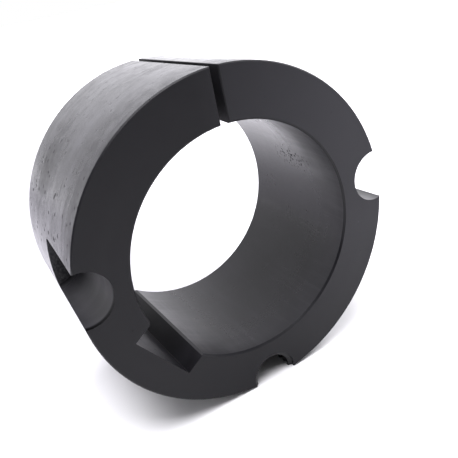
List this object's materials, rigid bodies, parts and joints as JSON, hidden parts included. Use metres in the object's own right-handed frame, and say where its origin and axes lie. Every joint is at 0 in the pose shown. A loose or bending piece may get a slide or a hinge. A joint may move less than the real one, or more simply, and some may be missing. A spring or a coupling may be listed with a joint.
{
  "type": "taper bush",
  "caption": "Slit ring with a conical outside, a keyed bore and half-holes on its rim for set screws; it wedges a pulley or sprocket hub onto a shaft.",
  "frame": {"origin": "centre of the bore on the large end face", "axes": "+Y along the bore from the large end face to the small one, +Z through the slit, -Z through the removal half-hole"},
  "size_m": [0.0854, 0.0444, 0.0852],
  "materials": {
    "bush": "turned and bored, black phosphated, lightly oiled"
  },
  "bodies": {
    "root": {"bush": "bush"}
  },
  "joints": []
}
